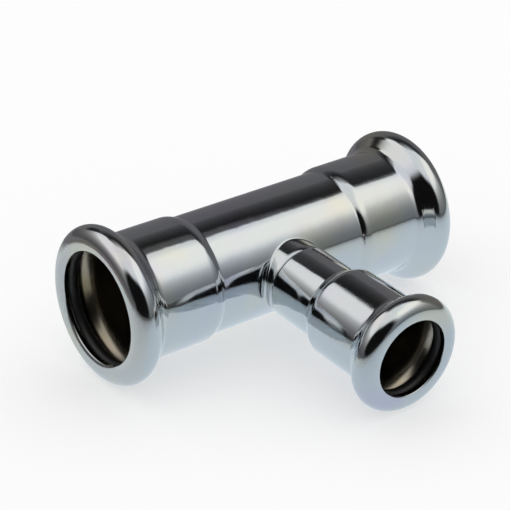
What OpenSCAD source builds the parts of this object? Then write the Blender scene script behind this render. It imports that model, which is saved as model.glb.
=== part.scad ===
// Reducing tee with press-fit sockets: a formed run tube, a smaller branch
// welded to the collar drawn out of its side, and a rubber ring in each mouth.
// Millimetres. The origin is where the run and branch centre-lines cross,
// the run lies along X, the branch leaves towards -Y, and Z is up.

/* [Pipes] */
// Outside diameter of the two pipes that enter the run
run_pipe_d = 22; // [21:0.1:26]
// Outside diameter of the pipe that enters the branch
branch_pipe_d = 15; // [12:0.1:16]
// Difference between the run sockets' bore and their pipes
run_play = 0.5; // [0.2:0.05:0.8]
// Difference between the branch socket's bore and its pipe
branch_play = 0.3; // [0.2:0.05:0.8]

/* [Overall] */
// Length of the run from mouth to mouth
run_l = 77.6; // [74:0.1:100]
// Reach of the branch from the run's centre-line to its mouth
branch_reach = 46.8; // [42:0.1:60]
// Wall of every tube
wall = 1.5; // [1.2:0.05:1.7]

/* [Seals] */
// Section diameter of the two run seals
run_seal_d = 2.8; // [2.4:0.05:3.2]
// Section diameter of the branch seal
branch_seal_d = 2.5; // [2.1:0.05:2.9]
// Room above a run seal, under the crown of its bead
run_seal_room = 0.35; // [0.2:0.01:0.6]
// Room above the branch seal, under the crown of its bead
branch_seal_room = 0.12; // [0.1:0.01:0.5]
// Gap between a seal and the flank of its groove
seal_gap = 0.05; // [0.02:0.01:0.15]
// Difference between a run mouth and its socket's bore
run_lip_play = 0.2; // [0.1:0.05:0.6]
// Difference between the branch mouth and its socket's bore
branch_lip_play = 0.35; // [0.1:0.05:0.6]

/* [Run sockets] */
// Steepest slope of the bead's rear flank, in degrees
run_flank = 49; // [40:1:60]
// Radius at the foot of the rear flank
run_toe_r = 2.7; // [1.5:0.1:3.5]
// Depth from the mouth to the start of the pipe stop
run_stop_at = 19.3; // [16:0.1:24]
// Height of the pipe stop
run_stop_h = 0.7; // [0.5:0.05:1.6]
// Steepest slope of the pipe stop, in degrees
run_stop_slope = 27; // [20:1:45]
// Inside radius where the pipe stop begins
run_shoulder_r = 2.8; // [1:0.1:3.5]
// Outside radius where the pipe stop ends
run_root_r = 1.3; // [0.6:0.1:3]

/* [Branch socket] */
// Steepest slope of the bead's rear flank, in degrees
branch_flank = 52; // [40:1:60]
// Radius at the foot of the rear flank
branch_toe_r = 2.8; // [1.5:0.1:3.5]
// Depth from the mouth to the start of the pipe stop
branch_stop_at = 18.9; // [15:0.1:22]
// Height of the pipe stop
branch_stop_h = 1.5; // [0.6:0.05:1.8]
// Steepest slope of the pipe stop, in degrees
branch_stop_slope = 34; // [25:1:45]
// Inside radius where the pipe stop begins
branch_shoulder_r = 1.4; // [0.8:0.1:3]
// Outside radius where the pipe stop ends
branch_root_r = 1; // [0.6:0.1:3]

/* [Collar and weld] */
// How far the collar's outside lies within the branch tube's, on the radius
collar_step = 0.2; // [0.05:0.05:0.3]
// Radius of the rounded corner between run and collar
corner_r = 0.5; // [0.3:0.05:1.2]
// Straight length of the collar beyond that corner
collar_l = 0.1; // [0.1:0.05:2]
// Radius over which the collar rolls in towards the weld
collar_roll_r = 2.4; // [1.5:0.1:4]
// How deep the collar has rolled in where it meets the weld
collar_roll_h = 0.3; // [0.1:0.05:0.5]
// Width of the butt weld
weld_w = 0.35; // [0.25:0.05:1]
// Rise of the weld's crown above the line between the two tubes
weld_crown = 0.05; // [0.02:0.01:0.1]
// Rounding of the branch tube's edge at the weld
branch_edge_r = 0.4; // [0.2:0.05:0.6]

/* [Hidden] */
$fn = 120;

ZINC = "#b4bec6";
WELD = "#9aa3aa";
RUBBER = "#1d1d1f";

// How far a cut runs past the face that it opens
past = 1;
// How far a profile's straight pieces end inside their arcs, so that both cross
hair = 0.0003;
// How far the corner's edges are sunk into the tubes that they run out on
sink = 0.02;
// How far the corner's core lies inside the two tubes
core = 0.4;
// Sections round the collar, and steps across its rounded corner
corner_n = 72;
corner_steps = 6;

run_bore_r = (run_pipe_d + run_play) / 2;
run_mouth_r = run_bore_r + run_lip_play / 2;
run_socket_r = run_bore_r + wall;
run_tube_r = run_socket_r - run_stop_h;
run_groove_r = run_seal_d / 2 + seal_gap;
run_crown_r = run_bore_r + run_seal_d + run_seal_room + wall;

branch_bore_r = (branch_pipe_d + branch_play) / 2;
branch_mouth_r = branch_bore_r + branch_lip_play / 2;
branch_socket_r = branch_bore_r + wall;
branch_tube_r = branch_socket_r - branch_stop_h;
branch_groove_r = branch_seal_d / 2 + seal_gap;
branch_crown_r = branch_bore_r + branch_seal_d + branch_seal_room + wall;

collar_r = branch_tube_r - collar_step;
collar_roll_at = run_tube_r + corner_r + collar_l;
collar_end = collar_roll_at + collar_roll_r * sin(acos(1 - collar_roll_h / collar_roll_r));
weld_end = collar_end + weld_w;

// A tube's wall seen from its centre-line bends in four arcs on its way from
// a mouth to the plain tube: the bead's crown, the toe at the foot of its rear
// flank, the shoulder where the pipe stop begins and the root where it ends.
// Profiles are drawn with the radius along x and the distance from the other
// tube's centre-line along y.

// Slope of an S-bend that drops by drop over two arcs, no steeper than most
function bend_slope(drop, arcs, most) = min(most, acos(max(-1, 1 - drop / arcs)));

// Length along the tube of such a bend, with the straight piece between its arcs
function bend_length(drop, arcs, slope) =
    arcs * sin(slope) + (drop - arcs * (1 - cos(slope))) / tan(slope);

// Direction of the wall's outward normal on a bend's straight piece
function outwards(slope) = [cos(slope), sin(slope)];

// Everything inside the wall's surface that lies depth below the outside
module envelope(depth, end, crown_r, groove_r, flank, toe_r, socket_r,
                stop_at, stop_slope, shoulder_r, root_r, tube_r, from = 0) {
    arc_r = groove_r + wall;
    lean = bend_slope(crown_r - socket_r, arc_r + toe_r, flank);
    fall = bend_slope(socket_r - tube_r, shoulder_r + wall + root_r, stop_slope);
    toe_at = arc_r + bend_length(crown_r - socket_r, arc_r + toe_r, lean);
    root_at = stop_at + bend_length(socket_r - tube_r, shoulder_r + wall + root_r, fall);

    crown = [crown_r - arc_r, end - arc_r];
    toe = [socket_r + toe_r, end - toe_at];
    shoulder = [socket_r - wall - shoulder_r, end - stop_at];
    root = [tube_r + root_r, end - root_at];
    to_rear = [[1, 0], [0, -1]];

    difference() {
        union() {
            translate(crown) circle(arc_r - depth);
            translate(shoulder) circle(shoulder_r + wall - depth);
            polygon([
                [0, from],
                [tube_r - depth, from],
                [tube_r - depth, root.y],
                root - (root_r + depth - hair) * to_rear * outwards(fall),
                shoulder + (shoulder_r + wall - depth - hair) * to_rear * outwards(fall),
                [socket_r - depth, shoulder.y],
                [socket_r - depth, toe.y],
                toe - (toe_r + depth - hair) * to_rear * outwards(lean),
                crown + (arc_r - depth - hair) * to_rear * outwards(lean),
                crown,
                [0, crown.y]
            ]);
        }
        translate(toe) circle(toe_r + depth);
        translate(root) circle(root_r + depth);
    }
}

// The opening of a mouth, down past the front flank of the seal's groove
module mouth(end, mouth_r, crown_r, groove_r) {
    arc_r = groove_r + wall;
    translate([0, end - arc_r]) square([mouth_r, arc_r + past]);
    translate([0, end - arc_r]) square([crown_r - arc_r, groove_r]);
}

module run_envelope(depth) {
    envelope(depth, run_l / 2, run_crown_r, run_groove_r, run_flank, run_toe_r, run_socket_r,
             run_stop_at, run_stop_slope, run_shoulder_r, run_root_r, run_tube_r);
}

module branch_envelope(depth, from) {
    envelope(depth, branch_reach, branch_crown_r, branch_groove_r, branch_flank, branch_toe_r,
             branch_socket_r, branch_stop_at, branch_stop_slope, branch_shoulder_r,
             branch_root_r, branch_tube_r, from);
}

// Turns a profile about the run's centre-line
module about_run() {
    rotate([0, 90, 0]) rotate_extrude() children();
}

// Turns a profile about the branch's centre-line
module about_branch() {
    rotate([90, 0, 0]) rotate_extrude() children();
}

module both_ends() {
    children();
    mirror([0, 1]) children();
}

// The rounded corner between run and collar is what a ball leaves as it rolls
// round in it. Its centre at the angle a about the branch:
function ball(a) =
    let (c = collar_r + corner_r, z = c * sin(a))
    [c * cos(a), -sqrt(pow(run_tube_r + corner_r, 2) - z * z), z];

// Directions from the ball's centre to where it touches the run and the collar
function to_run(b) = -[0, b.y, b.z] / (run_tube_r + corner_r);
function to_collar(a) = -[cos(a), 0, sin(a)];

// One section of the corner at the angle a: an arc of radius r about the
// ball's centre, sunk at both ends, and a core point under it
function corner_section(a, r) =
    let (
        b = ball(a),
        run_way = to_run(b),
        collar_way = to_collar(a),
        turn = acos(run_way * collar_way),
        run_r = run_tube_r + corner_r - r - core,
        z = (collar_r + corner_r - r - core) * sin(a)
    )
    [
        for (i = [0 : corner_steps])
            let (
                t = i / corner_steps,
                way = (sin((1 - t) * turn) * run_way + sin(t * turn) * collar_way) / sin(turn)
            )
            b + r * way + (i == 0 ? sink * run_way : i == corner_steps ? sink * collar_way : [0, 0, 0]),
        [(collar_r + corner_r - r - core) * cos(a), -sqrt(run_r * run_r - z * z), z]
    ];

// The ring of metal, or of space, between the two tubes and that arc
module corner_ring(r) {
    m = corner_steps + 2;
    points = [for (i = [0 : corner_n - 1]) each corner_section(360 * i / corner_n, r)];
    faces = [
        for (i = [0 : corner_n - 1], j = [0 : m - 1])
            let (
                p = i * m + j,
                q = i * m + (j + 1) % m,
                p2 = (i + 1) % corner_n * m + j,
                q2 = (i + 1) % corner_n * m + (j + 1) % m
            )
            each [[p, q, q2], [p, q2, p2]]
    ];
    polyhedron(points, faces);
}

// The collar's outside: straight at first, then rolled in towards the weld
module collar() {
    about_branch() intersection() {
        square([collar_r, collar_end]);
        union() {
            square([collar_r, collar_roll_at]);
            translate([collar_r - collar_roll_r, collar_roll_at]) circle(collar_roll_r);
        }
    }
}

// One piece of tube: expanded at both ends, with the collar drawn out of its side
module run_tube() {
    color(ZINC) difference() {
        union() {
            about_run() both_ends() run_envelope(0);
            collar();
            corner_ring(corner_r);
        }
        about_run() both_ends() {
            run_envelope(wall);
            mouth(run_l / 2, run_mouth_r, run_crown_r, run_groove_r);
        }
        rotate([90, 0, 0]) cylinder(r = collar_r - wall, h = collar_end + past);
        corner_ring(corner_r + wall);
    }
}

// What rounding takes off the outer edge of the branch tube's welded end
module welded_edge() {
    translate([branch_tube_r - branch_edge_r, weld_end]) difference() {
        square([branch_edge_r + past, branch_edge_r]);
        translate([0, branch_edge_r]) circle(branch_edge_r);
    }
}

// The smaller tube, expanded at its mouth and cut square at the weld
module branch_tube() {
    color(ZINC) about_branch() difference() {
        branch_envelope(0, weld_end);
        branch_envelope(wall, weld_end - past);
        mouth(branch_reach, branch_mouth_r, branch_crown_r, branch_groove_r);
        welded_edge();
    }
}

// Full butt weld between the collar and the branch tube, with a crowned outside
module weld_seam() {
    from = [collar_r - collar_roll_h, collar_end];
    to = [branch_tube_r - branch_edge_r, weld_end];
    chord = norm(to - from);
    crown_r = chord * chord / (8 * weld_crown) + weld_crown / 2;
    normal = [(to - from).y, -(to - from).x] / chord;
    color(WELD) about_branch() {
        polygon([from, to, [branch_tube_r - wall, weld_end], [collar_r - wall, collar_end]]);
        intersection() {
            translate((from + to) / 2 - (crown_r - weld_crown) * normal) circle(crown_r);
            translate([branch_tube_r - wall / 2, collar_end]) square([wall, weld_w]);
        }
    }
}

// A round rubber ring in the groove under a bead, its bore flush with the socket's
module seal(end, bore_r, seal_d, groove_r) {
    color(RUBBER) rotate_extrude()
        translate([bore_r + seal_d / 2, end - groove_r - wall]) circle(seal_d / 2);
}

module run_seal() {
    seal(run_l / 2, run_bore_r, run_seal_d, run_groove_r);
}

module left_seal() {
    rotate([0, -90, 0]) run_seal();
}

module right_seal() {
    rotate([0, 90, 0]) run_seal();
}

module branch_seal() {
    rotate([90, 0, 0]) seal(branch_reach, branch_bore_r, branch_seal_d, branch_groove_r);
}

run_tube();
branch_tube();
weld_seam();
left_seal();
right_seal();
branch_seal();
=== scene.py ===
"""Bright zinc-plated reducing tee with press-fit sockets, lying on a pale studio floor."""
import math

import bmesh
import bpy
from mathutils import Matrix, Vector


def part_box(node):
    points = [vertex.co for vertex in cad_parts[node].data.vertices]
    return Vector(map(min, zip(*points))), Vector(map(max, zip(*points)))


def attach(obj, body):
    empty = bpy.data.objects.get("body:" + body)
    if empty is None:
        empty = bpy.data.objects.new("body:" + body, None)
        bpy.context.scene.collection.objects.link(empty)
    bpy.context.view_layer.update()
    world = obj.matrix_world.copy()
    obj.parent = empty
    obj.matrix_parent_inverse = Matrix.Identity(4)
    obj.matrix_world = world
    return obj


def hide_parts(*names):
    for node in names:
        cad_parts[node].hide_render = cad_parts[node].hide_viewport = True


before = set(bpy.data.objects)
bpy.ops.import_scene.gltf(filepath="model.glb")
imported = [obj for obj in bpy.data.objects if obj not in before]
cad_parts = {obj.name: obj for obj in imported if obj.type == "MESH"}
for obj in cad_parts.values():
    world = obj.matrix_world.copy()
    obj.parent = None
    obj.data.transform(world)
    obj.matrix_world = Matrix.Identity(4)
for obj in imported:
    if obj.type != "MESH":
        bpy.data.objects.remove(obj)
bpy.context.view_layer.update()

# Lengths are in millimetres until a piece is finished, and MM turns them to metres
MM = 0.001
TURN = 2 * math.pi

# Driving sizes that the frame's boxes don't give
WALL = 1.5
SEAL_GAP = 0.05
LIP_FRONT_R = 0.3
LIP_INNER_R = 0.25
COLLAR_STEP = 0.2
CORNER_R = 0.5
COLLAR_ROLL_R = 2.4
COLLAR_ROLL_H = 0.22
WELD_CROWN = 0.05
WELDED_EDGE_R = 0.4

# Segments round every tube, how far each of them turns, and segments round a seal
ROUND = 144
STEP = TURN / ROUND
SEAL_ROUND = 96

# Segments along the curves of a section: the wall's, the weld's and the seals'
CROWN_STEPS = 52
GROOVE_STEPS = 20
TOE_STEPS = 8
SOCKET_STEPS = 5
SHOULDER_STEPS = 5
ROOT_STEPS = 4
LIP_STEPS = 5
WELDED_EDGE_STEPS = 8
WELD_STEPS = 16
SEAL_STEPS = 32
# From toe to root the outside has this many times the steps of the inside
OUTSIDE_FINENESS = 2

# Points closer than this are one, and edges sharper than this stay sharp
SEAM = 0.002
SHARP = math.radians(50)


def low(node):
    """Lowest corner of a node's box, in millimetres."""
    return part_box(node)[0] / MM


def high(node):
    """Highest corner of a node's box, in millimetres."""
    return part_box(node)[1] / MM


# Shapes of the tubes' walls, seen in section: s is the depth from the mouth, r the radius


def bend_slope(drop, arcs, most):
    """Slope of an S-bend that drops over two arcs, no steeper than most."""
    return min(most, math.acos(max(-1, 1 - drop / arcs)))


def bend_length(drop, arcs, slope):
    """Length of such a bend along the tube, with the straight piece between its arcs."""
    return arcs * math.sin(slope) + (drop - arcs * (1 - math.cos(slope))) / math.tan(slope)


def arc(centre, radius, start, end, steps):
    """Points on a circle; angles run from the outward radius towards the rear."""
    points = []
    for i in range(steps + 1):
        a = start + (end - start) * i / steps
        points.append((centre[0] + radius * math.sin(a), centre[1] + radius * math.cos(a)))
    return points


def rounded(before, corner, after, radius):
    """The points that take a corner's place when it is rounded off."""
    corner = Vector(corner)
    back = (Vector(before) - corner).normalized()
    ahead = (Vector(after) - corner).normalized()
    half = back.angle(ahead) / 2
    reach = radius / math.tan(half)
    centre = corner + (back + ahead).normalized() * radius / math.sin(half)
    start = (corner + back * reach - centre).normalized()
    end = (corner + ahead * reach - centre).normalized()
    return [tuple(centre + radius * start.slerp(end, i / LIP_STEPS)) for i in range(LIP_STEPS + 1)]


class PressEnd:
    """One expanded tube end: bead, toe, socket, pipe stop and plain tube.

    flank and stop_slope are the steepest slopes, in degrees. toe, shoulder and root are
    the radii of the bends, and lip is what the mouth is wider than the bore.
    """

    def __init__(self, seal, crown, flank, toe, stop_at, stop_h, stop_slope, shoulder, root, lip):
        self.groove = seal["section"] / 2 + SEAL_GAP
        self.arc = self.groove + WALL
        self.bore = seal["bore"]
        self.socket = self.bore + WALL
        self.tube = self.socket - stop_h
        self.mouth = self.bore + lip / 2
        self.toe, self.shoulder, self.root = toe, shoulder, root
        self.lean = bend_slope(crown - self.socket, self.arc + toe, math.radians(flank))
        self.fall = bend_slope(stop_h, shoulder + WALL + root, math.radians(stop_slope))
        toe_at = self.arc + bend_length(crown - self.socket, self.arc + toe, self.lean)
        root_at = stop_at + bend_length(stop_h, shoulder + WALL + root, self.fall)
        self.crown_c = (self.arc, crown - self.arc)
        self.toe_c = (toe_at, self.socket + toe)
        self.shoulder_c = (stop_at, self.bore - shoulder)
        self.root_c = (root_at, self.tube + root)

    def bends(self, depth, fine):
        """From the crown's rear flank to the plain tube, depth below the outside."""
        # The toe and the root bend the other way, so their arcs face the centre-line
        inward = math.pi
        line = arc(self.toe_c, self.toe + depth, self.lean + inward, inward, TOE_STEPS * fine)
        steps = SOCKET_STEPS * fine
        for i in range(1, steps):
            s = self.toe_c[0] + (self.shoulder_c[0] - self.toe_c[0]) * i / steps
            line.append((s, self.socket - depth))
        shoulder = self.shoulder + WALL - depth
        line += arc(self.shoulder_c, shoulder, 0, self.fall, SHOULDER_STEPS * fine)
        line += arc(self.root_c, self.root + depth, self.fall + inward, inward, ROOT_STEPS * fine)
        return line

    def wall(self, end_at):
        """The wall's outside from the plain tube to its lip, and its inside back again."""
        front = -math.acos((self.mouth - self.crown_c[1]) / self.arc)
        crown = arc(self.crown_c, self.arc, front, self.lean, CROWN_STEPS)
        groove = arc(self.crown_c, self.groove, -math.pi / 2, self.lean, GROOVE_STEPS)
        inner_lip = (WALL, self.mouth)
        outside = [(end_at, self.tube)] + self.bends(0, OUTSIDE_FINENESS)[::-1] + crown[:0:-1]
        lip = rounded(crown[1], crown[0], inner_lip, LIP_FRONT_R)
        lip += rounded(crown[0], inner_lip, groove[0], LIP_INNER_R)
        inside = groove + self.bends(WALL, 1) + [(end_at, self.tube - WALL)]
        return outside + lip, [lip[-1]] + inside


def seal_sizes(node, axis):
    """Section and bore of a ring, from its box."""
    section = (high(node) - low(node))[axis]
    return {"section": section, "bore": high(node).z - section}


run_seal = seal_sizes("right_seal", 0)
branch_seal = seal_sizes("branch_seal", 1)

RUN = PressEnd(run_seal, high("run_tube").z, flank=49, toe=2.7, stop_at=19.3, stop_h=0.7,
               stop_slope=27, shoulder=2.8, root=1.3, lip=0.2)
BRANCH = PressEnd(branch_seal, high("branch_tube").z, flank=52, toe=2.8, stop_at=18.9, stop_h=1.5,
                  stop_slope=34, shoulder=1.4, root=1, lip=0.35)
RUN_END = high("run_tube").x
BRANCH_END = -low("branch_tube").y
COLLAR_END = -high("weld_seam").y
WELD_END = -high("branch_tube").y
COLLAR = BRANCH.tube - COLLAR_STEP
ROLL = math.acos(1 - COLLAR_ROLL_H / COLLAR_ROLL_R)
ROLL_AT = COLLAR_END - COLLAR_ROLL_R * math.sin(ROLL)

# Operators that the pieces share


def lathe(bm, line, axis, steps=ROUND, closed=False):
    """Turns a line of (along, radius) points about the run (X) or the branch (Y)."""
    if axis == "X":
        verts = [bm.verts.new((along, -r, 0)) for along, r in line]
    else:
        verts = [bm.verts.new((r, -along, 0)) for along, r in line]
    pairs = list(zip(verts, verts[1:]))
    if closed:
        pairs.append((verts[-1], verts[0]))
    edges = [bm.edges.new(pair) for pair in pairs]
    turn_axis = (1, 0, 0) if axis == "X" else (0, 1, 0)
    bmesh.ops.spin(bm, geom=verts + edges, cent=(0, 0, 0), axis=turn_axis, angle=TURN,
                   steps=steps, use_merge=True)


def rolled_sheet(bm, columns, rows, place):
    """Lays a flat grid and rolls it into the shape that place(column, row) gives."""
    sheet = bmesh.ops.create_grid(bm, x_segments=columns, y_segments=rows, size=1)
    for v in sheet["verts"]:
        column = round((v.co.x + 1) / 2 * columns)
        row = round((v.co.y + 1) / 2 * rows)
        v.co = place(column, row)


def inside_faces(bm, first):
    """Faces made since there were first of them are the tube's inside, its second metal."""
    bm.faces.ensure_lookup_table()
    for face in bm.faces[first:]:
        face.material_index = 1


def new_object(bm, name, materials):
    """An object in the scene with the bmesh as its mesh."""
    mesh = bpy.data.meshes.new(name)
    bm.to_mesh(mesh)
    bm.free()
    for material in materials:
        mesh.materials.append(material)
    made = bpy.data.objects.new(name, mesh)
    bpy.context.scene.collection.objects.link(made)
    return made


def finished(bm, name, materials, node):
    """Welds the seams, points the faces outwards and hands the piece to the frame."""
    bmesh.ops.remove_doubles(bm, verts=bm.verts, dist=SEAM)
    bmesh.ops.recalc_face_normals(bm, faces=bm.faces)
    bmesh.ops.scale(bm, vec=(MM, MM, MM), verts=bm.verts)
    for face in bm.faces:
        face.smooth = True
    piece = new_object(bm, name, materials)
    piece.data.set_sharp_from_angle(angle=SHARP)
    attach(piece, "root")
    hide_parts(node)


# The run tube's middle, where the collar is drawn out of its side. A place on the tube is
# its distance x along the run and its angle round it from the branch's side. The square
# patch round the collar reaches HALF_PATCH along the run each way and PATCH_TURN steps
# round it each way. It has PATCH_LONG columns along the run.

HALF_PATCH = 12.5
PATCH_TURN = 24
PATCH_LONG = 36


def on_run(x, turn, radius):
    return Vector((x, -radius * math.cos(turn), radius * math.sin(turn)))


def patch_edge(column):
    """Where the columns round the collar reach the edge of the square patch round it."""
    side, long_side = PATCH_TURN, PATCH_LONG
    column = (column + side) % (4 * side + 2 * long_side)
    if column <= 2 * side:
        return HALF_PATCH, (column - side) * STEP
    column -= 2 * side
    if column <= long_side:
        return HALF_PATCH * (1 - 2 * column / long_side), side * STEP
    column -= long_side
    if column <= 2 * side:
        return -HALF_PATCH, (side - column) * STEP
    column -= 2 * side
    return HALF_PATCH * (2 * column / long_side - 1), -side * STEP


def corner_ball(angle):
    """Centre of the ball that rolls round the corner between run and collar."""
    reach = COLLAR + CORNER_R
    z = reach * math.sin(angle)
    return Vector((reach * math.cos(angle), -math.sqrt((RUN.tube + CORNER_R) ** 2 - z * z), z))


def corner_point(angle, radius, t):
    """A point t of the way from the run to the collar on the ball's arc."""
    ball = corner_ball(angle)
    to_run = -Vector((0, ball.y, ball.z)).normalized()
    to_collar = -Vector((math.cos(angle), 0, math.sin(angle)))
    return ball + radius * to_run.slerp(to_collar, t)


def collar_rows():
    """Rows of the collar's sheets: outside from the patch's edge, and inside back to it."""

    def patch_row(depth, t):
        def place(angle, edge):
            foot = corner_point(angle, CORNER_R + depth, 0)
            turn = math.atan2(foot.z, -foot.y)
            x = foot.x + (edge[0] - foot.x) * t
            return on_run(x, turn + (edge[1] - turn) * t, RUN.tube - depth)
        return place

    def corner_row(depth, t):
        return lambda angle, edge: corner_point(angle, CORNER_R + depth, t)

    def collar_row(r, end, t):
        def place(angle, edge):
            y = corner_ball(angle).y
            return Vector((r * math.cos(angle), y + (-end - y) * t, r * math.sin(angle)))
        return place

    def roll_row(turned):
        r = COLLAR - COLLAR_ROLL_R * (1 - math.cos(turned))
        y = -ROLL_AT - COLLAR_ROLL_R * math.sin(turned)
        return lambda angle, edge: Vector((r * math.cos(angle), y, r * math.sin(angle)))

    # How many rows on the patch, the rounded corner, the straight collar and its rolled end
    patch, corner, straight, roll = 10, 12, 5, 8
    outside = [patch_row(0, 1 - i / patch) for i in range(patch)]
    outside += [corner_row(0, i / corner) for i in range(corner)]
    outside += [collar_row(COLLAR, ROLL_AT, i / straight) for i in range(straight)]
    outside += [roll_row(ROLL * i / roll) for i in range(roll + 1)]
    inside = [outside[-1]]
    inside += [collar_row(COLLAR - WALL, COLLAR_END, 1 - i / straight) for i in range(straight)]
    inside += [corner_row(WALL, 1 - i / corner) for i in range(corner)]
    inside += [patch_row(WALL, i / patch) for i in range(patch + 1)]
    return outside, inside


def make_run_tube(metals):
    bm = bmesh.new()
    columns = 4 * PATCH_TURN + 2 * PATCH_LONG
    back = ROUND - 2 * PATCH_TURN
    ends = RUN.wall(RUN_END - HALF_PATCH)

    for side, rows in enumerate(collar_rows()):
        first = len(bm.faces)
        line = [(RUN_END - s, r) for s, r in ends[side]]
        lathe(bm, line, "X")
        lathe(bm, [(-x, r) for x, r in line], "X")

        def place_collar(column, row):
            return rows[row](TURN * column / columns, patch_edge(column))

        def place_back(column, row):
            x = HALF_PATCH * (2 * column / PATCH_LONG - 1)
            return on_run(x, (PATCH_TURN + row) * STEP, RUN.tube - side * WALL)

        rolled_sheet(bm, columns, len(rows) - 1, place_collar)
        rolled_sheet(bm, PATCH_LONG, back, place_back)
        if side:
            inside_faces(bm, first)
    finished(bm, "run_tube_formed", metals, "run_tube")


def make_branch_tube(metals):
    bm = bmesh.new()
    outside, inside = BRANCH.wall(BRANCH_END - WELD_END)
    edge_c = (outside[0][0] - WELDED_EDGE_R, BRANCH.tube - WELDED_EDGE_R)
    outside[:1] = arc(edge_c, WELDED_EDGE_R, math.pi / 2, 0, WELDED_EDGE_STEPS)
    lathe(bm, [(BRANCH_END - s, r) for s, r in outside], "Y")
    first = len(bm.faces)
    lathe(bm, [(BRANCH_END - s, r) for s, r in inside + outside[:1]], "Y")
    inside_faces(bm, first)
    finished(bm, "branch_tube_formed", metals, "branch_tube")


def make_weld_seam(material):
    """A full butt weld between the collar and the branch tube, with a crowned outside."""
    bm = bmesh.new()
    start = Vector((COLLAR_END, COLLAR - COLLAR_ROLL_H))
    end = Vector((WELD_END, BRANCH.tube - WELDED_EDGE_R))
    chord = (end - start).length
    radius = chord * chord / (8 * WELD_CROWN) + WELD_CROWN / 2
    outward = Vector((start.y - end.y, end.x - start.x)).normalized()
    centre = (start + end) / 2 - outward * (radius - WELD_CROWN)
    first, last = (start - centre).normalized(), (end - centre).normalized()
    crown = [tuple(centre + radius * first.slerp(last, i / WELD_STEPS))
             for i in range(WELD_STEPS + 1)]
    inside = [(WELD_END, BRANCH.tube - WALL), (COLLAR_END, COLLAR - WALL)]
    lathe(bm, crown + inside, "Y", closed=True)
    finished(bm, "weld_bead", [material], "weld_seam")


def make_seal(name, node, material, axis, along, seal):
    bm = bmesh.new()
    radius = seal["section"] / 2
    ring = arc((along, seal["bore"] + radius), radius, 0, TURN, SEAL_STEPS)[:-1]
    lathe(bm, ring, axis, steps=SEAL_ROUND, closed=True)
    finished(bm, name, [material], node)


# Materials


def linear(hex_colour):
    """An sRGB hex colour as linear RGBA."""
    channels = [int(hex_colour[i:i + 2], 16) / 255 for i in (1, 3, 5)]
    return [c / 12.92 if c <= 0.04045 else ((c + 0.055) / 1.055) ** 2.4 for c in channels] + [1]


def add(tree, kind, settings=None, **links):
    """Adds a node: settings are its own values, links its sockets' values or sources.

    A socket is given by its name, with _ for a space, or as n and its number.
    """
    node = tree.nodes.new(kind)
    for key, value in (settings or {}).items():
        setattr(node, key, value)
    for key, value in links.items():
        numbered = key[0] == "n" and key[1:].isdigit()
        socket = node.inputs[int(key[1:]) if numbered else key.replace("_", " ")]
        if isinstance(value, bpy.types.NodeSocket):
            tree.links.new(value, socket)
        else:
            socket.default_value = value
    return node


def new_material(name):
    material = bpy.data.materials.new(name)
    material.use_nodes = True
    material.node_tree.nodes.clear()
    return material, material.node_tree


def tinted(tree, place, colour, tint, size, most):
    """Lays a tint over a colour in soft patches size mm across, nowhere thicker than most."""
    noise = add(tree, "ShaderNodeTexNoise", Vector=place, Scale=1 / (size * MM))
    patches = add(tree, "ShaderNodeMapRange", {"interpolation_type": "SMOOTHSTEP"},
                  Value=noise.outputs[0], From_Min=0.45, From_Max=0.75, To_Min=0.0, To_Max=most)
    return add(tree, "ShaderNodeMix", {"data_type": "RGBA"}, n0=patches.outputs[0], n6=colour,
               n7=linear(tint)).outputs[2]


def uneven(tree, place, waves):
    """Bumps of the given heights and widths, in millimetres."""
    normal = None
    for height, size in waves:
        noise = add(tree, "ShaderNodeTexNoise", Vector=place, Scale=1 / (size * MM))
        bump = add(tree, "ShaderNodeBump", Strength=1.0, Distance=height * MM,
                   Height=noise.outputs[0])
        if normal is not None:
            tree.links.new(normal, bump.inputs["Normal"])
        normal = bump.outputs[0]
    return normal


def bright_zinc():
    """Bright electroplated zinc with a clear passivation.

    It mirrors the room, a little blue and darker than chrome. Its film shows as faint straw
    and violet patches, and the forming has left the tube slightly wavy, so that what it
    mirrors is never quite straight.
    """
    material, tree = new_material("bright_zinc_plating")
    place = add(tree, "ShaderNodeTexCoord").outputs["Object"]
    colour = tinted(tree, place, linear("#c1c7ca"), "#d6cdaa", size=16, most=0.45)
    # The violet patches lie elsewhere than the straw ones
    shifted = add(tree, "ShaderNodeMapping", Vector=place, Location=(0.05, 0.02, 0.07)).outputs[0]
    colour = tinted(tree, shifted, colour, "#b6afd6", size=11, most=0.28)
    shader = add(tree, "ShaderNodeBsdfPrincipled", Base_Color=colour, Metallic=1.0,
                 Roughness=0.085, Normal=uneven(tree, place, [(0.05, 7), (0.002, 1.2)]))
    add(tree, "ShaderNodeOutputMaterial", Surface=shader.outputs[0])
    return material


def dull_zinc():
    """The tubes' inside, where the plating bath reaches badly: thin, dull and brownish."""
    material, tree = new_material("thin_dull_plating")
    place = add(tree, "ShaderNodeTexCoord").outputs["Object"]
    colour = tinted(tree, place, linear("#9e978b"), "#857b5e", size=7, most=0.7)
    shader = add(tree, "ShaderNodeBsdfPrincipled", Base_Color=colour, Metallic=1.0,
                 Roughness=0.25)
    add(tree, "ShaderNodeOutputMaterial", Surface=shader.outputs[0])
    return material


def weld_metal_and_painted_shade():
    """Weld metal in a narrow root: thinly plated and tarnished, and near black also as painted
    shade of the groove between collar and branch tube, so that it reads as a dark line.
    """
    material, tree = new_material("plated_weld_with_painted_shade")
    place = add(tree, "ShaderNodeTexCoord").outputs["Object"]
    # The near-black base colour is partly painted shade of the weld's groove
    shader = add(tree, "ShaderNodeBsdfPrincipled", Base_Color=linear("#343538"), Metallic=1.0,
                 Roughness=0.36, Normal=uneven(tree, place, [(0.01, 0.8)]))
    add(tree, "ShaderNodeOutputMaterial", Surface=shader.outputs[0])
    return material


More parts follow.
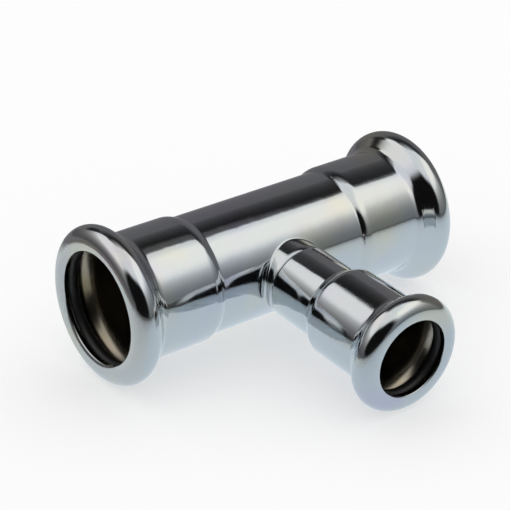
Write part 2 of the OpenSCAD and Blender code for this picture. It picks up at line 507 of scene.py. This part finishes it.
def seal_rubber():
    """Moulded black rubber: near black, with the soft sheen of its lubricant film."""
    material, tree = new_material("black_seal_rubber")
    shader = add(tree, "ShaderNodeBsdfPrincipled", Base_Color=linear("#0e0e0f"), Roughness=0.45)
    add(tree, "ShaderNodeOutputMaterial", Surface=shader.outputs[0])
    return material


def white_paper():
    """Matt white paper: it takes the object's soft shadow and is otherwise near white.

    Its underside is clear, because the floor leans and a camera level with the object
    stands under it.
    """
    material, tree = new_material("white_paper_floor")
    paper = add(tree, "ShaderNodeBsdfDiffuse", Color=linear("#bebebe"))
    glow = add(tree, "ShaderNodeEmission", Color=linear("#ffffff"), Strength=0.47)
    both = add(tree, "ShaderNodeAddShader", n0=paper.outputs[0], n1=glow.outputs[0])
    under = add(tree, "ShaderNodeNewGeometry").outputs["Backfacing"]
    clear = add(tree, "ShaderNodeBsdfTransparent")
    shader = add(tree, "ShaderNodeMixShader", n0=under, n1=both.outputs[0], n2=clear.outputs[0])
    add(tree, "ShaderNodeOutputMaterial", Surface=shader.outputs[0])
    return material


# Camera, as solved from the photograph: the sensor's width is in millimetres, the image's
# width and the focal length are in pixels

CAM_AZIMUTH = math.radians(-38.648)
CAM_ELEVATION = math.radians(30.053)
CAM_ROLL = math.radians(2.535)
CAM_DISTANCE = 384.035
CAM_ASIDE = (0.581, -0.438)
SENSOR = 36
IMAGE = 510
FOCAL_PIXELS = 1929.77


def make_camera():
    """The camera looks back along its place, rolled and set a little aside."""
    a, e, r = CAM_AZIMUTH, CAM_ELEVATION, CAM_ROLL
    back = Vector((math.sin(a) * math.cos(e), -math.cos(a) * math.cos(e), math.sin(e)))
    level = Vector((math.cos(a), math.sin(a), 0))
    right = math.cos(r) * level + math.sin(r) * back.cross(level)
    up = back.cross(right)
    place = CAM_DISTANCE * back - CAM_ASIDE[0] * right + CAM_ASIDE[1] * up
    turned = Matrix((right, up, back)).transposed().to_4x4()
    data = bpy.data.cameras.new("camera")
    data.sensor_width = SENSOR
    data.lens = FOCAL_PIXELS * SENSOR / IMAGE
    camera = bpy.data.objects.new("camera", data)
    camera.matrix_world = Matrix.Translation(place * MM) @ turned
    bpy.context.scene.collection.objects.link(camera)
    bpy.context.scene.camera = camera


# The floor, on which both run beads and the smaller branch bead rest, so it leans

# Half a side of the floor, and of a card that lies on it
FLOOR_HALF = 3000
FLOOR_CARD_HALF = 900


def floor_tilt():
    """The floor's lean about the run, from the two sizes of bead that lie on it."""
    reach = BRANCH_END - BRANCH.arc
    ring = BRANCH.crown_c[1]
    drop = high("run_tube").z - BRANCH.arc
    return math.asin(drop / math.hypot(reach, ring)) - math.atan2(ring, reach)


def floor_sheet(half, height):
    """A square sheet at a height over the floor, leaning with it."""
    tilt = floor_tilt()
    down = -high("run_tube").z * MM * Vector((0, math.sin(tilt), math.cos(tilt)))
    bm = bmesh.new()
    bmesh.ops.create_grid(bm, x_segments=1, y_segments=1, size=half * MM)
    bmesh.ops.translate(bm, verts=bm.verts, vec=(0, 0, height * MM))
    bmesh.ops.rotate(bm, verts=bm.verts, cent=(0, 0, 0), matrix=Matrix.Rotation(-tilt, 3, "X"))
    bmesh.ops.translate(bm, verts=bm.verts, vec=down)
    return bm


def make_floor():
    """The floor keeps the object's shadow."""
    floor = new_object(floor_sheet(FLOOR_HALF, 0), "floor", [white_paper()])


# The studio: a white surround, and cards that only the metal's reflections see


def direction(turn, lift):
    """Unit vector; turn runs from the branch's side (-Y) towards +X, lift upwards."""
    a, b = math.radians(turn), math.radians(lift)
    return Vector((math.sin(a) * math.cos(b), -math.cos(a) * math.cos(b), math.sin(b)))


def glow_with_soft_edge(tree, away, full, clear, colour, strength):
    """Glows all over where away is full, not at all where it is clear, and softly between."""
    there = add(tree, "ShaderNodeMapRange", {"interpolation_type": "SMOOTHSTEP"}, Value=away,
                From_Min=clear, From_Max=full, To_Min=0.0, To_Max=1.0)
    glow = add(tree, "ShaderNodeEmission", Color=colour, Strength=strength)
    nothing = add(tree, "ShaderNodeBsdfTransparent")
    card = add(tree, "ShaderNodeMixShader", n0=there.outputs[0], n1=nothing.outputs[0],
               n2=glow.outputs[0])
    add(tree, "ShaderNodeOutputMaterial", Surface=card.outputs[0])


def hang(bm, name, material):
    """Puts a card where only the metal's reflections see it."""
    card = new_object(bm, name, [material])
    card.visible_camera = False
    card.visible_diffuse = False
    card.visible_shadow = False


def card_material(name, span, lower, upper, strength, corner, blur, bend):
    """A card with rounded, blurred edges, shaded from its lower to its upper edge."""
    material, tree = new_material(name)
    place = add(tree, "ShaderNodeTexCoord").outputs["UV"]
    centred = add(tree, "ShaderNodeVectorMath", {"operation": "SUBTRACT"}, n0=place,
                  n1=(0.5, 0.5, 0))
    turned = add(tree, "ShaderNodeVectorMath", {"operation": "MULTIPLY"},
                 n0=centred.outputs[0], n1=(*span, 0))
    aside = add(tree, "ShaderNodeVectorMath", {"operation": "ABSOLUTE"}, n0=turned.outputs[0])
    beyond = add(tree, "ShaderNodeVectorMath", {"operation": "SUBTRACT"},
                 n0=aside.outputs[0], n1=(span[0] / 2 - corner, span[1] / 2 - corner, 0))
    beyond = add(tree, "ShaderNodeVectorMath", {"operation": "MAXIMUM"},
                 n0=beyond.outputs[0], n1=(0, 0, 0))
    away = add(tree, "ShaderNodeVectorMath", {"operation": "LENGTH"}, n0=beyond.outputs[0])
    rise = add(tree, "ShaderNodeSeparateXYZ", Vector=place)
    rise = add(tree, "ShaderNodeMath", {"operation": "POWER"}, n0=rise.outputs["Y"], n1=bend)
    shade = add(tree, "ShaderNodeMix", {"data_type": "RGBA"}, n0=rise.outputs[0],
                n6=linear(lower), n7=linear(upper))
    glow_with_soft_edge(tree, away.outputs["Value"], corner - blur, corner, shade.outputs[2],
                        strength)
    return material


def make_card(name, turns, lifts, distance, colours, corner, blur, strength=1.0, bend=1):
    """A bowed card all at one distance, between the given angles seen from the object.

    It has two colours, at its lower and its upper edge. Its corners and blurred edge are
    in degrees too. The more bend, the longer the lower colour holds.
    """
    columns, rows = 24, 12
    bm = bmesh.new()
    bm.loops.layers.uv.verify()
    sheet = bmesh.ops.create_grid(bm, x_segments=columns, y_segments=rows, size=1, calc_uvs=True)
    for v in sheet["verts"]:
        turn = turns[0] + (turns[1] - turns[0]) * (v.co.x + 1) / 2
        lift = lifts[0] + (lifts[1] - lifts[0]) * (v.co.y + 1) / 2
        v.co = direction(turn, lift) * distance * MM
    middle = math.radians(sum(lifts) / 2)
    span = ((turns[1] - turns[0]) * math.cos(middle), lifts[1] - lifts[0])
    hang(bm, name, card_material(name, span, *colours, strength, corner, blur, bend))


def make_floor_card(name, colour, height, centre, full, clear):
    """A card flat on the floor, there by one radius from its centre and gone by another."""
    material, tree = new_material(name)
    place = add(tree, "ShaderNodeTexCoord").outputs["Object"]
    middle = (centre[0] * MM, centre[1] * MM, -high("run_tube").z * MM)
    aside = add(tree, "ShaderNodeVectorMath", {"operation": "SUBTRACT"}, n0=place, n1=middle)
    away = add(tree, "ShaderNodeVectorMath", {"operation": "LENGTH"}, n0=aside.outputs[0])
    glow_with_soft_edge(tree, away.outputs["Value"], full * MM, clear * MM, linear(colour), 1.0)
    hang(floor_sheet(FLOOR_CARD_HALF, height), name, material)


make_camera()

metals = [bright_zinc(), dull_zinc()]
rubber = seal_rubber()

make_run_tube(metals)
make_branch_tube(metals)
make_weld_seam(weld_metal_and_painted_shade())
groove_at = RUN_END - RUN.arc
make_seal("right_seal_ring", "right_seal", rubber, "X", groove_at, run_seal)
make_seal("left_seal_ring", "left_seal", rubber, "X", -groove_at, run_seal)
make_seal("branch_seal_ring", "branch_seal", rubber, "Y", BRANCH_END - BRANCH.arc, branch_seal)

make_floor()

# What the metal sees on the floor, a higher card over a lower one: the white sheet with its
# bluer part on the right, then painted shade: its fall-off all round and two grey patches
make_floor_card("floor_sheet", "#e6eae9", 0.1, centre=(0, 0), full=1300, clear=1400)
make_floor_card("blue_floor_sheet", "#e9f3fb", 0.2, centre=(258, -106), full=300, clear=328)
# Painted shade: the floor that the metal mirrors darkens away from the object, most to the left
# and behind
make_floor_card("floor_falloff_painted_shade", "#606264", 0.3, centre=(79, 120), full=435, clear=112)
make_floor_card("left_floor_painted_shade", "#807a77", 0.4, centre=(-215, 150), full=148, clear=180)
make_floor_card("back_floor_painted_shade", "#7f7d81", 0.5, centre=(140, 560), full=470, clear=540)

# Dark boards: the camera's side of the room, and a narrow one behind the run
make_card("camera_flag", (-94, 12), (-14, 57), 500, ("#151414", "#151414"), corner=34, blur=13)
make_card("back_flag", (170, 198), (14, 42), 205, ("#303030", "#303030"), corner=10, blur=7)

# The dark gap between the walls and the light overhead, which draws the band along the run
make_card("ceiling_edge", (94, 186), (32, 57), 530, ("#706e70", "#080808"), corner=8, blur=4,
          bend=0.6)
make_card("ceiling_side", (115, 196), (50, 78), 535, ("#0a0a0a", "#ffffff"), corner=8, blur=6,
          bend=2)

# Walls, grey at the floor and paler higher up
make_card("right_wall", (-6, 104), (-14, 42), 620, ("#6e7377", "#ffffff"), corner=10, blur=8,
          strength=1.2, bend=3.6)
make_card("right_side_wall", (64, 106), (-14, 46), 600, ("#66696c", "#8e8e8e"), corner=14,
          blur=12, bend=2)
make_card("left_wall", (-196, -74), (-14, 38), 560, ("#5a585b", "#fffcf8"), corner=10, blur=8,
          strength=1.15, bend=3.4)
make_card("back_wall", (80, 190), (-14, 68), 540, ("#777577", "#5a585a"), corner=40, blur=4,
          bend=2.2)

# Softboxes to the right and left, and a sheet of light overhead
make_card("right_softbox", (-12, 100), (34, 78), 800, ("#fffbf4", "#fffbf4"), corner=19,
          blur=14, strength=1.38)
make_card("left_softbox", (-182, -84), (28, 70), 800, ("#fffaf8", "#fffaf8"), corner=19,
          blur=12, strength=1.2)
make_card("overhead_softbox", (-180, 180), (56, 90), 900, ("#ffffff", "#ffffff"), corner=8,
          blur=8, strength=1.06)

world = bpy.data.worlds.new("white_surround")
world.use_nodes = True
world.node_tree.nodes["Background"].inputs["Color"].default_value = linear("#ffffff")
bpy.context.scene.world = world

bpy.context.scene.view_settings.view_transform = "Standard"
